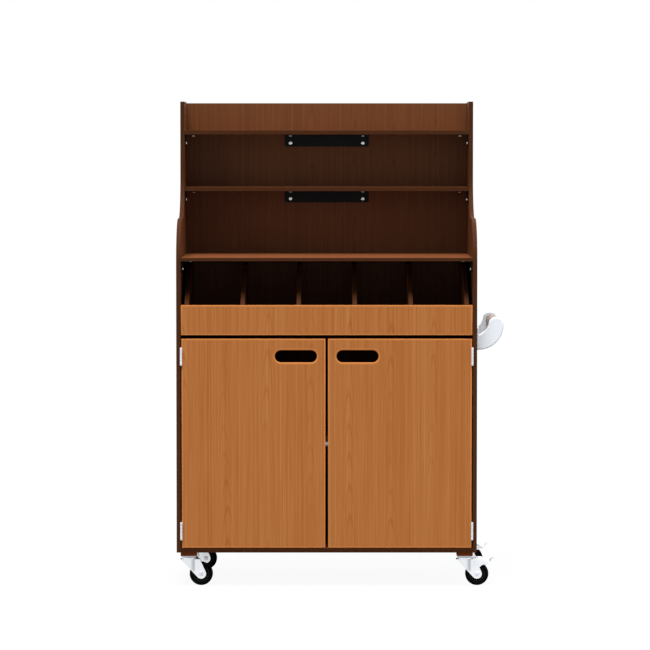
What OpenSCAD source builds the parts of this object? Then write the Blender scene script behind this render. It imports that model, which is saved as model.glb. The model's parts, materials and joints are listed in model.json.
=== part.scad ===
// Mobile serving trolley: a two-door cupboard on four castors, a pull-out tray of
// five compartments, a counter, and a shallow hutch with two shelves.
// X runs along the width, the front faces -Y, and the floor is at Z = 0.
// Modules are drawn from the cabinet's own corner lines (x from its middle, y back
// from its front edges) and moved once, by placed(), to the part's origin.

/* [Cabinet] */
// Width over the two side panels
cabinet_w = 1030; // [1000:10:1060]
// Depth from the front edges to the back
cabinet_d = 570; // [560:5:600]
// Thickness of the boards
board_t = 15; // [15:1:16]
// Height of the side panels' top edges
total_h = 1668; // [1660:4:1720]
// How far the back panel's top edge lies under the side panels'
back_drop = 3.5; // [2:0.5:20]
// Height of the counter's top face
counter_h = 1130; // [1125:1:1140]
// Thickness of the counter board
counter_t = 12; // [12:1:16]
// How far the counter's front edge lies behind the side panels'
counter_setback = 2; // [2:1:6]
// Height of the cupboard shelf's underside
cupboard_shelf_z = 497; // [440:1:560]
// How far the cupboard shelf's front edge lies behind the cabinet's
cupboard_shelf_setback = 20; // [20:1:24]

/* [Hutch] */
// How far the hutch's front edges lie behind the cabinet's
hutch_setback = 371.5; // [360:0.5:385]
// Height of the short ledge where the side panels step back
ledge_z = 1261.5; // [1250:0.5:1280]
// Radius of the convex shoulder below the ledge
shoulder_r = 150; // [140:5:160]
// Radius of the cove above the ledge
cove_r = 145; // [120:5:150]
// Height of the lower shelf's top face
lower_shelf_top = 1368; // [1360:1:1400]
// Height of the upper shelf's top face
upper_shelf_top = 1567; // [1550:1:1590]

/* [Brackets] */
// Leg of the steel angle brackets
bracket_leg = 42; // [36:1:44]
// Thickness of the brackets' steel
bracket_t = 3; // [2:0.5:4]
// Length of the long brackets behind the shelves
long_bracket_l = 300; // [280:10:320]
// Distance between the long brackets' screws
long_bracket_pitch = 258; // [220:2:260]
// Length of the short brackets at the shelves' ends
side_bracket_l = 100; // [80:5:110]
// Distance of a bracket's screws from its corner
bracket_hole_offset = 29; // [26:1:30]

/* [Tray] */
// Height of the tray front's bottom edge
tray_z = 865; // [864:0.5:868]
// Height of the tray front board
tray_front_h = 103; // [100:1:110]
// Side gap between the tray and the cabinet, which holds the runners
runner_gap = 12.5; // [12.5:0.1:12.8]
// Depth of the tray from its front face to its back
tray_d = 495; // [480:5:500]
// Height of the tray's dividers at the back
divider_top = 1100; // [1080:1:1105]
// Slope of the dividers' front edges
divider_slope = 30; // [28:1:34]
// Thickness of the tray's floor
tray_floor_t = 9; // [9:1:12]
// Number of compartments
compartments = 5; // [5:1:5]

/* [Doors] */
// Height of the doors' bottom edge above the base panel
door_foot_gap = 1.5; // [1:0.5:3]
// Gap between the doors and the tray front
door_head_gap = 12; // [8:0.5:13]
// Gap between the two doors
door_mid_gap = 9; // [5:0.5:9]
// Gap between a door and its side panel, which holds the hinge's leaves
door_side_gap = 3; // [3:0.1:3.4]
// Length of the slot that each door is pulled by
slot_l = 144; // [130:1:150]
// Height of that slot
slot_h = 42; // [36:1:44]
// Chamfer round the slot's edges
slot_chamfer = 4; // [2:0.5:5]
// Distance of the slot's middle from the cabinet's middle line
slot_x = 105.5; // [100:0.5:110]
// Height of the slots' middle
slot_z = 792.5; // [780:0.5:800]

/* [Hinges] */
// Length of each butt hinge
hinge_l = 60; // [58:1:66]
// Outer diameter of the hinge's knuckles
knuckle_d = 8.5; // [8:0.1:9]
// Diameter of the hinge's pin
hinge_pin_d = 4; // [3.5:0.1:4.4]
// Thickness of the hinge's leaves
leaf_t = 1.3; // [1.1:0.1:1.3]
// Number of knuckles in each hinge
knuckles = 5; // [3:2:7]
// Height of the lower hinges' middle
lower_hinge_z = 192.5; // [180:0.5:220]
// Height of the upper hinges' middle
upper_hinge_z = 792.5; // [780:0.5:800]

/* [Castors] */
// Diameter of the wheels
wheel_d = 80; // [76:1:80]
// Width of the tyres
tyre_w = 25; // [22:1:25]
// Height of a castor from the floor to the top of its plate
castor_h = 103; // [103:1:108]
// Distance of each wheel's axle from its swivel axis
castor_trail = 42.5; // [38:0.5:44]
// Distance of the swivel axes from the cabinet's middle line
castor_x = 475; // [470:1:480]
// Distance of the swivel axes from the cabinet's front and back
castor_inset = 57; // [50:1:60]
// Side of the square castor plates
plate_side = 52; // [50:1:54]
// Side of the wooden blocks above the plates
block_side = 55; // [54:1:60]

/* [Handle] */
// Height of the bar's middle
bar_z = 898; // [880:1:900]
// Diameter of the handle's bar
bar_d = 30; // [26:1:32]
// Distance of the bar's middle from the side panel
bar_reach = 67; // [64:1:70]
// Width of the curved arms, seen from the front
arm_band = 52; // [46:1:54]
// Thickness of the arms along the bar
arm_t = 22; // [18:1:26]
// Thickness of the arms' flange on the side panel
flange_t = 7; // [6:1:8]
// Distance of the front arm's middle from the cabinet's front
front_arm_y = 67; // [60:1:80]
// Distance of the rear arm's middle from the cabinet's front
rear_arm_y = 485; // [470:1:500]

/* [Hidden] */
$fn = 64;

// Colours
carcass_colour = [0.36, 0.20, 0.12];
front_colour = [0.68, 0.41, 0.22];
tray_colour = [0.30, 0.18, 0.11];
zinc_colour = [0.80, 0.82, 0.84];
black_steel_colour = [0.07, 0.07, 0.08];
white_colour = [0.90, 0.92, 0.94];
rubber_colour = [0.05, 0.05, 0.05];

// Cabinet
inner_x = cabinet_w / 2 - board_t;
base_z = castor_h + board_t;
floor_z = base_z + board_t;
back_y = cabinet_d - board_t;
shoulder_z = ledge_z - shoulder_r;
cove_y = hutch_setback - cove_r;
touch = 0.05;

// Tray
tray_x = inner_x - runner_gap;
tray_floor_top = tray_z + tray_floor_t;
tray_front_top = tray_z + tray_front_h;
tray_back_y = tray_d - board_t;
divider_pitch = (2 * tray_x - board_t) / compartments;
divider_top_y = board_t + (divider_top - tray_front_top) / tan(divider_slope);

// Drawer runners: a channel on the cabinet, a slide on the tray, balls between them
runner_h = 45;
runner_z = tray_floor_top + 8;
runner_y = 20;
runner_l = 450;
runner_steel = 1.4;
runner_lip = 6;
slide_h = 29.8;
slide_reach = 8.5;
ball_r = 2.8;
ball_play = 0.1;
balls_in_row = 8;
cage_y = 185;
cage_l = 120;
cage_t = 0.8;

// Doors
door_z = floor_z + door_foot_gap;
door_h = tray_z - door_head_gap - door_z;
door_w = inner_x - door_side_gap - door_mid_gap / 2;

// Hinges
knuckle_gap = 0.4;
hinge_x = inner_x - door_side_gap / 2;
hinge_y = -knuckle_d / 2 - knuckle_gap;
knuckle_l = (hinge_l - (knuckles - 1) * knuckle_gap) / knuckles;
pin_play = 0.05;
leaf_back_y = 14;
leaf_front_y = 0.4;

// Magnetic catch
catch_w = 50;
catch_h = 14;
catch_front_y = 16.7;
catch_body_y = 18.5;
catch_back_y = 44;
strike_w = 38;
strike_t = 1.2;

// Screws with a pan head
screw_head_r = 6;
screw_head_h = 3.6;
screw_rim_h = 1.2;
screw_r = 2.2;
screw_l = 14;
screw_hole_r = 2.7;

// Castors, measured from the swivel axis
wheel_r = wheel_d / 2;
tyre_bore_r = wheel_r - 12;
tyre_round = 5;
axle_r = 4;
axle_head_r = 7.5;
axle_head_h = 4;
leg_gap = tyre_w + 2;
leg_t = 2.5;
leg_y = leg_gap / 2 + leg_t;
leg_end_r = 17;
crown_top = 92;
crown_t = 3;
crown_left = -29;
crown_right = 37.5;
race_play = 0.5;
race_r = 23;
race_top = castor_h - 3;
fork_race_r = 20;
fork_race_top = 95.5;
kingpin_r = 5;
kingpin_head_r = 9;
kingpin_head_h = 3;
plate_t = 3;
plate_round = 5;
plate_hole = plate_side / 2 - 6.5;
castor_screw_head_r = 4.5;

// Brake pedal, in the castor's x and z
pedal_pivot = [34, 85.5];
pedal_pin_r = 2.2;
pedal_t = 2;
pedal_w = 36;
cheek_t = 1.4;
pedal_path = [[39, 95.3], [58, 95.8], [86, 79], [92, 91], [108, 97.5]];
pedal_cheek = [[28, 82], [28, 94], pedal_path[0], pedal_path[1], pedal_path[2],
    [77, 74], [61, 71], [50, 62], [42, 72]];
pedal_rivet_h = 1;

// Handle
arm_mid_r = bar_reach - flange_t;
arm_x = cabinet_w / 2 + flange_t;
flange_bottom = 811;
flange_h = 79;
flange_w = 30;
bar_socket = 12;
handle_screw_z = [822, 872];

// Origin: under the middle of the whole object's box
reach_right = cabinet_w / 2 + bar_reach + arm_band / 2;
mid_x = (reach_right - cabinet_w / 2) / 2;
mid_y = (cabinet_d + hinge_y - knuckle_d / 2) / 2;

// ---- Helpers ----

module placed() {
    translate([-mid_x, -mid_y, 0]) children();
}

// Leaves a shape on the right side, or mirrors it to the left side
module on_side(side) {
    mirror([side < 0 ? 1 : 0, 0, 0]) children();
}

// A board from corner a to corner b
module board(a, b) {
    translate(a) cube(b - a);
}

// An outline drawn in y and z, made t thick from x onwards
module across(x, t) {
    translate([x, 0, 0]) rotate([90, 0, 90]) linear_extrude(t) children();
}

// An outline drawn in x and z, made t thick from y onwards
module upright(y, t) {
    translate([0, y + t, 0]) rotate([90, 0, 0]) linear_extrude(t) children();
}

module rounded_rect(size, r) {
    square([size.x, size.y - 2 * r], center = true);
    square([size.x - 2 * r, size.y], center = true);
    for (sx = [-1, 1], sy = [-1, 1])
        translate([sx * (size.x / 2 - r), sy * (size.y / 2 - r)]) circle(r = r);
}

function unit(v) = v / norm(v);

// Point beside path[i] at distance h from the path's lines, where they meet in a mitre
function mitre(path, i, h) =
    let (
        before = unit(path[max(i, 1)] - path[max(i, 1) - 1]),
        after = unit(path[min(i, len(path) - 2) + 1] - path[min(i, len(path) - 2)]),
        along = unit(before + after)
    )
    path[i] + [-along.y, along.x] * h / (along * before);

// A strip of thickness t along a list of points
module strip(path, t) {
    last = len(path) - 1;
    polygon([
        for (i = [0 : last]) mitre(path, i, t / 2),
        for (i = [last : -1 : 0]) mitre(path, i, -t / 2)
    ]);
}

// Pan-head screw: its head stands on z = 0 and its shank runs down from there
module pan_screw(head_r = screw_head_r, head_h = screw_head_h, shank_r = screw_r, l = screw_l) {
    dome_h = head_h - screw_rim_h;
    dome_r = (head_r * head_r + dome_h * dome_h) / (2 * dome_h);
    difference() {
        union() {
            cylinder(r = head_r, h = screw_rim_h, $fn = 32);
            intersection() {
                translate([0, 0, head_h - dome_r]) sphere(r = dome_r, $fn = 48);
                translate([0, 0, screw_rim_h]) cylinder(r = head_r, h = dome_h, $fn = 32);
            }
        }
        for (turn = [0, 90]) rotate(turn)
            translate([-head_r / 2, -0.6, head_h - 1.5]) cube([head_r, 1.2, 2]);
    }
    translate([0, 0, -l]) cylinder(r = shank_r, h = l, $fn = 24);
}

// ---- Cabinet boards ----

module side_outline() {
    difference() {
        union() {
            translate([0, base_z]) square([cabinet_d, shoulder_z - base_z]);
            translate([shoulder_r, shoulder_z]) circle(r = shoulder_r, $fn = 128);
            translate([shoulder_r, base_z]) square([cabinet_d - shoulder_r, ledge_z - base_z]);
            translate([cove_y, base_z]) square([cabinet_d - cove_y, total_h - base_z]);
        }
        translate([cove_y, ledge_z + cove_r]) circle(r = cove_r, $fn = 128);
        translate([0, ledge_z + cove_r]) square([hutch_setback, total_h]);
    }
}

module side_panel(side) {
    color(carcass_colour) placed()
        across(side < 0 ? -cabinet_w / 2 : inner_x, board_t) side_outline();
}

module back_panel() {
    color(carcass_colour) placed()
        board([-inner_x, back_y, base_z], [inner_x, cabinet_d, total_h - back_drop]);
}

// A shelf between the side panels
module shelf(front_y, bottom_z, t, end_gap = 0, back_gap = 0) {
    color(carcass_colour) placed()
        board([end_gap - inner_x, front_y, bottom_z],
              [inner_x - end_gap, back_y - back_gap, bottom_z + t]);
}

// Pins that carry the loose cupboard shelf, each with a flat spoon under the board
module shelf_pins() {
    pin_r = 2.5;
    pin_in = 9;
    pin_out = 8;
    color(zinc_colour) placed()
        for (side = [-1, 1], y = [80, cabinet_d - 80])
            on_side(side) translate([inner_x - pin_out, y, cupboard_shelf_z - pin_r]) rotate([0, 90, 0]) {
                cylinder(r = pin_r, h = pin_out + pin_in, $fn = 24);
                translate([-pin_r, -5, 0]) cube([1, 10, pin_out]);
            }
}

module castor_blocks() {
    color(carcass_colour) placed() at_castors()
        translate([-block_side / 2, -block_side / 2, castor_h]) cube([block_side, block_side, board_t]);
}

// ---- Angle brackets ----
// A bracket's corner line lies on its own x axis: one leg hangs down, the other runs to -y.

module leg_outline(l, holes) {
    r = 9;
    difference() {
        union() {
            translate([-l / 2, 0]) square([l, bracket_leg - r]);
            translate([r - l / 2, 0]) square([l - 2 * r, bracket_leg]);
            for (s = [-1, 1]) translate([s * (l / 2 - r), bracket_leg - r]) circle(r = r);
        }
        for (x = holes) translate([x, bracket_hole_offset]) circle(r = screw_hole_r, $fn = 24);
    }
}

module angle_bracket(l, holes) {
    rotate([180, 0, 0]) linear_extrude(bracket_t) leg_outline(l, holes);
    translate([0, -bracket_t, 0]) rotate([-90, 0, 0]) linear_extrude(bracket_t) leg_outline(l, holes);
}

module angle_screws(holes) {
    for (x = holes) {
        translate([x, -bracket_t, -bracket_hole_offset]) rotate([90, 0, 0]) pan_screw();
        translate([x, -bracket_hole_offset, -bracket_t]) rotate([180, 0, 0]) pan_screw();
    }
}

long_holes = [-long_bracket_pitch / 2, long_bracket_pitch / 2];
side_holes = [0];

// Under the middle of each hutch shelf, on the back panel
module at_long_brackets() {
    for (z = [lower_shelf_top, upper_shelf_top] - [board_t, board_t])
        translate([0, back_y, z]) children();
}

// Under both ends of each hutch shelf and of the counter
module at_side_brackets() {
    shelf_y = hutch_setback + 58;
    counter_y = 110;
    places = [
        [shelf_y, lower_shelf_top - board_t],
        [shelf_y, upper_shelf_top - board_t],
        [counter_y, counter_h - counter_t]
    ];
    for (side = [-1, 1], p = places)
        translate([side * inner_x, p[0], p[1]]) rotate(-90 * side) children();
}

module long_brackets() {
    color(black_steel_colour) placed() at_long_brackets() angle_bracket(long_bracket_l, long_holes);
}

module side_brackets() {
    color(black_steel_colour) placed() at_side_brackets() angle_bracket(side_bracket_l, side_holes);
}

module bracket_screws() {
    color(zinc_colour) placed() {
        at_long_brackets() angle_screws(long_holes);
        at_side_brackets() angle_screws(side_holes);
    }
}

// ---- Pull-out tray ----

module tray_front() {
    side_gap = 1;
    color(front_colour) placed()
        board([side_gap - inner_x, 0, tray_z], [inner_x - side_gap, board_t, tray_front_top]);
}

module tray_floor() {
    color(tray_colour) placed()
        board([-tray_x, board_t, tray_z], [tray_x, tray_d, tray_floor_top]);
}

module tray_back() {
    color(tray_colour) placed()
        board([-tray_x, tray_back_y, tray_floor_top], [tray_x, tray_d, divider_top]);
}

// Every upright of the tray has this outline, with its front edge sloping back
module divider_outline() {
    polygon([
        [board_t, tray_floor_top],
        [tray_back_y, tray_floor_top],
        [tray_back_y, divider_top],
        [divider_top_y, divider_top],
        [board_t, tray_front_top]
    ]);
}

// Upright i of the tray, from 0 at the left side to compartments at the right side
module tray_upright(i) {
    color(tray_colour) placed()
        across(i * divider_pitch - tray_x, board_t) divider_outline();
}

// Screws up through the floor into the front ends of the uprights
module tray_screws() {
    head_h = 2.6;
    color(zinc_colour) placed()
        for (i = [0 : compartments])
            translate([i * divider_pitch - tray_x + board_t / 2, 30, tray_z]) rotate([180, 0, 0])
                pan_screw(head_r = 5, head_h = head_h, l = 30);
}

// Cross-section of the cabinet's channel, in x from the side panel and z from its bottom
module channel_outline() {
    reach = 10.5;
    translate([-runner_steel, 0]) square([runner_steel, runner_h]);
    for (z = [0, runner_h - runner_steel]) translate([-reach, z]) square([reach, runner_steel]);
    for (z = [0, runner_h - runner_lip]) translate([-reach, z]) square([runner_steel, runner_lip]);
}

// Cross-section of the tray's slide, in x from the tray's side and z from the channel's bottom
module slide_outline() {
    rise = (runner_h - slide_h) / 2;
    translate([0, rise]) square([runner_steel, slide_h]);
    for (z = [rise, rise + slide_h - runner_steel]) translate([0, z]) square([slide_reach, runner_steel]);
}

// Runs a cross-section along the depth, on the right side or mirrored on the left
module on_runners(x, y, l) {
    for (side = [-1, 1]) on_side(side)
        translate([x, y, runner_z]) upright(0, l) children();
}

module runner_channels() {
    color(zinc_colour) placed() on_runners(inner_x, runner_y, runner_l) channel_outline();
}

module runner_slides() {
    color(zinc_colour) placed() on_runners(tray_x, runner_y, runner_l) slide_outline();
}

// Ball cages, which travel half as far as the tray
module runner_cages() {
    rise = (runner_h - slide_h) / 2;
    ball_z = (rise + runner_steel) / 2;
    ball_x = 6.8;
    web_x = 9.8;
    lip_x = 3.5;
    rows = [ball_z, runner_h - ball_z];
    steps = [for (i = [0 : balls_in_row - 1]) (i + 0.5) * cage_l / balls_in_row];
    color(zinc_colour) placed() {
        for (side = [-1, 1]) on_side(side) translate([tray_x, cage_y, runner_z]) difference() {
            union() {
                translate([web_x, 0, ball_z]) cube([cage_t, cage_l, runner_h - 2 * ball_z]);
                for (z = rows) translate([lip_x, 0, z - cage_t / 2])
                    cube([web_x + cage_t - lip_x, cage_l, cage_t]);
            }
            for (y = steps, z = rows) translate([ball_x, y, z])
                cylinder(r = ball_r + ball_play, h = 2 * cage_t, center = true, $fn = 24);
        }
        for (side = [-1, 1], y = steps, z = rows)
            translate([side * (tray_x + ball_x), cage_y + y, runner_z + z])
                sphere(r = ball_r, $fn = 24);
    }
}

// ---- Doors ----

module slot_outline(r) {
    square([slot_l - slot_h, 2 * r], center = true);
    for (s = [-1, 1]) translate([s * (slot_l - slot_h) / 2, 0]) circle(r = r);
}

// The slot, with a chamfer on its front and back edges; it is centred on x = 0, z = 0
module slot_cut() {
    r = slot_h / 2;
    half = (slot_l - slot_h) / 2;
    upright(-1, board_t + 2) slot_outline(r);
    for (face = [0, 1]) mirror([0, face, 0]) translate([0, -face * board_t, 0]) {
        for (s = [-1, 1]) translate([s * half, 0, 0]) rotate([-90, 0, 0])
            cylinder(r1 = r + slot_chamfer, r2 = r, h = slot_chamfer);
        across(-half, 2 * half)
            polygon([
                [0, -r - slot_chamfer],
                [slot_chamfer, -r],
                [slot_chamfer, r],
                [0, r + slot_chamfer]
            ]);
    }
}

module door(side) {
    near = door_mid_gap / 2;
    color(front_colour) placed() on_side(side)
        difference() {
            board([near, 0, door_z], [near + door_w, board_t, door_z + door_h]);
            translate([slot_x, 0, slot_z]) slot_cut();
        }
}

// ---- Butt hinges ----
// Even knuckles from the bottom belong to the cabinet's leaf, odd ones to the door's.

module hinge_leaf(first, leaf_x) {
    bore_r = hinge_pin_d / 2 + pin_play;
    difference() {
        union() {
            board([leaf_x, leaf_front_y, 0], [leaf_x + leaf_t, leaf_back_y, hinge_l]);
            for (i = [first : 2 : knuckles - 1]) translate([0, 0, i * (knuckle_l + knuckle_gap)]) {
                translate([hinge_x, hinge_y, 0]) cylinder(d = knuckle_d, h = knuckle_l);
                board([leaf_x, hinge_y, 0], [leaf_x + leaf_t, leaf_front_y, knuckle_l]);
            }
        }
        translate([hinge_x, hinge_y, -1]) cylinder(r = bore_r, h = hinge_l + 2);
    }
}

module hinge_leaves(side, first, leaf_x) {
    color(zinc_colour) placed() on_side(side)
        for (z = [lower_hinge_z, upper_hinge_z])
            translate([0, 0, z - hinge_l / 2]) hinge_leaf(first, leaf_x);
}

module hinge_frame_leaves() {
    for (side = [-1, 1]) hinge_leaves(side, 0, inner_x - leaf_t);
}

module hinge_door_leaves(side) {
    hinge_leaves(side, 1, inner_x - door_side_gap);
}

module hinge_pins() {
    cap_h = 1.2;
    color(zinc_colour) placed()
        for (side = [-1, 1], z = [lower_hinge_z, upper_hinge_z])
            translate([side * hinge_x, hinge_y, z - hinge_l / 2]) {
                cylinder(d = hinge_pin_d, h = hinge_l);
                for (end = [-cap_h, hinge_l]) translate([0, 0, end]) cylinder(r = 3, h = cap_h);
            }
}

// ---- Magnetic catch ----

module magnetic_catch() {
    bottom = cupboard_shelf_z - catch_h;
    keeper_rim = 3;
    color(white_colour) placed() {
        board([-catch_w / 2, catch_body_y, bottom], [catch_w / 2, catch_back_y, cupboard_shelf_z]);
        board([keeper_rim - catch_w / 2, catch_front_y, bottom + keeper_rim],
              [catch_w / 2 - keeper_rim, catch_body_y, cupboard_shelf_z - keeper_rim]);
    }
}

module strike_plate(side) {
    near = door_mid_gap / 2 + 1;
    bottom = cupboard_shelf_z - catch_h;
    color(zinc_colour) placed() on_side(side)
        board([near, board_t, bottom], [near + strike_w, board_t + strike_t, bottom + catch_h]);
}

// ---- Push handle ----

// A quarter ring from the flange up to the bar, with a round head
module arm_outline() {
    translate([arm_x, bar_z]) {
        intersection() {
            difference() {
                circle(r = arm_mid_r + arm_band / 2, $fn = 96);
                circle(r = arm_mid_r - arm_band / 2);
            }
            translate([0, -arm_mid_r - arm_band]) square(arm_mid_r + arm_band);
        }
        translate([arm_mid_r, 0]) circle(r = arm_band / 2);
    }
}

// inner_side is 1 where the bar leaves towards the back, -1 where it leaves towards the front
module handle_arm(y, inner_side) {
    color(white_colour) placed() difference() {
        union() {
            upright(y - arm_t / 2, arm_t) arm_outline();
            board([cabinet_w / 2, y - flange_w / 2, flange_bottom],
                  [arm_x, y + flange_w / 2, flange_bottom + flange_h]);
        }
        translate([cabinet_w / 2 + bar_reach, y + inner_side * (arm_t / 2 - bar_socket), bar_z])
            rotate([-90 * inner_side, 0, 0]) cylinder(d = bar_d + 2 * touch, h = bar_socket + 1);
    }
}

module handle_bar() {
    start = front_arm_y + arm_t / 2 - bar_socket;
    end = rear_arm_y - arm_t / 2 + bar_socket;
    color(carcass_colour) placed()
        translate([cabinet_w / 2 + bar_reach, start + touch, bar_z]) rotate([-90, 0, 0])
            cylinder(d = bar_d, h = end - start - 2 * touch);
}

// Screws from inside the cabinet, through its side, into the arms
module handle_screws() {
    color(zinc_colour) placed()
        for (y = [front_arm_y, rear_arm_y], z = handle_screw_z)
            translate([inner_x, y, z]) rotate([0, -90, 0]) pan_screw(l = board_t + flange_t - 1);
}

// ---- Castors ----
// Each castor is drawn about its swivel axis, trailing towards +x.

corner_names = ["front_left", "front_right", "rear_left", "rear_right"];

module at_castor(corner) {
    side = (corner == "front_left" || corner == "rear_left") ? -1 : 1;
    y = (corner == "front_left" || corner == "front_right") ? castor_inset : cabinet_d - castor_inset;
    translate([side * castor_x, y, 0]) children();
}

module at_castors() {
    for (corner = corner_names) at_castor(corner) children();
}

// Turns a shape drawn about z so that it lies on the wheel's axle
module on_axle() {
    translate([castor_trail, 0, wheel_r]) rotate([90, 0, 0]) children();
}

module castor_plates() {
    color(zinc_colour) placed() at_castors() {
        difference() {
            translate([0, 0, castor_h - plate_t]) linear_extrude(plate_t)
                rounded_rect([plate_side, plate_side], plate_round);
            for (sx = [-1, 1], sy = [-1, 1]) translate([sx * plate_hole, sy * plate_hole, 0])
                cylinder(r = screw_hole_r, h = castor_h + 1, $fn = 24);
            cylinder(r = kingpin_r + touch, h = castor_h + 1);
        }
        translate([0, 0, fork_race_top + race_play]) difference() {
            cylinder(r = race_r, h = race_top - fork_race_top - race_play);
            translate([0, 0, -1]) cylinder(r = kingpin_r + touch, h = castor_h);
        }
    }
}

module castor_kingpins() {
    head_z = crown_top - crown_t - race_play - kingpin_head_h;
    color(zinc_colour) placed() at_castors() {
        translate([0, 0, head_z]) cylinder(r = kingpin_head_r, h = kingpin_head_h);
        translate([0, 0, head_z]) cylinder(r = kingpin_r, h = castor_h - head_z);
    }
}

module castor_screws() {
    color(zinc_colour) placed() at_castors()
        for (sx = [-1, 1], sy = [-1, 1])
            translate([sx * plate_hole, sy * plate_hole, castor_h - plate_t]) rotate([180, 0, 0])
                pan_screw(head_r = castor_screw_head_r, head_h = 3, l = plate_t + 12);
}

// Point where a line from p touches the circle of radius r about c, on the given side
function tangent_point(p, c, r, side) =
    let (d = c - p, a = atan2(d.y, d.x) + side * asin(r / norm(d)))
    p + sqrt(d * d - r * r) * [cos(a), sin(a)];

module leg_shape() {
    axle = [castor_trail, wheel_r];
    top_left = [crown_left, crown_top];
    top_right = [crown_right, crown_top];
    polygon([
        top_left,
        tangent_point(top_left, axle, leg_end_r, -1),
        axle,
        tangent_point(top_right, axle, leg_end_r, 1),
        top_right
    ]);
    translate(axle) circle(r = leg_end_r);
}

module castor_fork(corner) {
    braked = corner == "front_right" || corner == "rear_right";
    color(zinc_colour) placed() at_castor(corner) difference() {
        union() {
            for (y = [-leg_y, leg_gap / 2]) upright(y, leg_t) leg_shape();
            board([crown_left, -leg_y, crown_top - crown_t], [crown_right, leg_y, crown_top]);
            translate([0, 0, crown_top]) cylinder(r = fork_race_r, h = fork_race_top - crown_top);
        }
        translate([0, 0, crown_top - crown_t - 1])
            cylinder(r = kingpin_r + pin_play, h = fork_race_top);
        on_axle() cylinder(r = axle_r + touch, h = 4 * leg_y, center = true);
        if (braked) translate([pedal_pivot.x, 0, pedal_pivot.y]) rotate([90, 0, 0])
            cylinder(r = pedal_pin_r + pin_play, h = 4 * leg_y, center = true);
    }
}

module castor_axle(corner) {
    color(zinc_colour) placed() at_castor(corner) on_axle() {
        cylinder(r = axle_r, h = 2 * leg_y, center = true);
        for (s = [-1, 1]) translate([0, 0, s * (leg_y + axle_head_h / 2)])
            cylinder(r = axle_head_r, h = axle_head_h, center = true);
    }
}

module castor_hub(corner) {
    boss_w = leg_gap - 0.8;
    boss_r = 9;
    web_w = 8;
    rim_w = tyre_w - 3;
    rim_r = tyre_bore_r - 4;
    color(white_colour) placed() at_castor(corner) on_axle() difference() {
        union() {
            cylinder(r = boss_r, h = boss_w, center = true);
            cylinder(r = tyre_bore_r, h = web_w, center = true);
            difference() {
                cylinder(r = tyre_bore_r, h = rim_w, center = true);
                cylinder(r = rim_r, h = rim_w + 1, center = true);
            }
        }
        cylinder(r = axle_r + pin_play, h = boss_w + 2, center = true);
    }
}

module castor_tyre(corner) {
    color(rubber_colour) placed() at_castor(corner) on_axle() rotate_extrude($fn = 96)
        translate([(tyre_bore_r + wheel_r) / 2, 0])
            rounded_rect([wheel_r - tyre_bore_r, tyre_w], tyre_round);
}

// Pressed-steel foot lever, pivoted in the fork's legs above the tyre
module brake_pedal(corner) {
    color(zinc_colour) placed() at_castor(corner) {
        upright(-pedal_w / 2, pedal_w) strip(pedal_path, pedal_t);
        for (y = [-pedal_w / 2, pedal_w / 2 - cheek_t]) upright(y, cheek_t) polygon(pedal_cheek);
        translate([pedal_pivot.x, 0, pedal_pivot.y]) rotate([90, 0, 0])
            cylinder(r = pedal_pin_r, h = pedal_w + 2 * pedal_rivet_h, center = true);
    }
}

side_panel(-1);  // side_panel_left
side_panel(1);  // side_panel_right
back_panel();
shelf(0, base_z, board_t);  // base_panel
shelf(counter_setback, counter_h - counter_t, counter_t);  // counter
shelf(hutch_setback, lower_shelf_top - board_t, board_t);  // hutch_shelf_lower
shelf(hutch_setback, upper_shelf_top - board_t, board_t);  // hutch_shelf_upper
shelf(cupboard_shelf_setback, cupboard_shelf_z, board_t, end_gap = 1, back_gap = 1);  // cupboard_shelf
shelf_pins();
castor_blocks();
long_brackets();
side_brackets();
bracket_screws();
runner_channels();
runner_cages();
runner_slides();
tray_front();
tray_floor();
tray_back();
tray_upright(0);  // tray_side_left
tray_upright(compartments);  // tray_side_right
tray_upright(1);  // tray_divider_1
tray_upright(2);  // tray_divider_2
tray_upright(3);  // tray_divider_3
tray_upright(4);  // tray_divider_4
tray_screws();
door(-1);  // door_left
door(1);  // door_right
hinge_frame_leaves();
hinge_pins();
hinge_door_leaves(-1);  // hinge_door_leaves_left
hinge_door_leaves(1);  // hinge_door_leaves_right
magnetic_catch();
strike_plate(-1);  // strike_plate_left
strike_plate(1);  // strike_plate_right
handle_arm(front_arm_y, 1);  // handle_arm_front
handle_arm(rear_arm_y, -1);  // handle_arm_rear
handle_bar();
handle_screws();
castor_plates();
castor_kingpins();
castor_screws();
castor_fork("front_left");  // castor_fork_front_left
castor_fork("front_right");  // castor_fork_front_right
castor_fork("rear_left");  // castor_fork_rear_left
castor_fork("rear_right");  // castor_fork_rear_right
castor_axle("front_left");  // castor_axle_front_left
castor_axle("front_right");  // castor_axle_front_right
castor_axle("rear_left");  // castor_axle_rear_left
castor_axle("rear_right");  // castor_axle_rear_right
castor_hub("front_left");  // castor_hub_front_left
castor_hub("front_right");  // castor_hub_front_right
castor_hub("rear_left");  // castor_hub_rear_left
castor_hub("rear_right");  // castor_hub_rear_right
castor_tyre("front_left");  // castor_tyre_front_left
castor_tyre("front_right");  // castor_tyre_front_right
castor_tyre("rear_left");  // castor_tyre_rear_left
castor_tyre("rear_right");  // castor_tyre_rear_right
brake_pedal("front_right");  // brake_pedal_front
brake_pedal("rear_right");  // brake_pedal_rear
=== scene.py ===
"""The looks of a serving trolley: laminate boards, zinc castors and hinges, a white and brown push handle.

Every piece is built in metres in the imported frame, from the boxes of the nodes that it dresses.
"""

import json
import math

import bmesh
import bpy
from mathutils import Matrix, Vector


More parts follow.
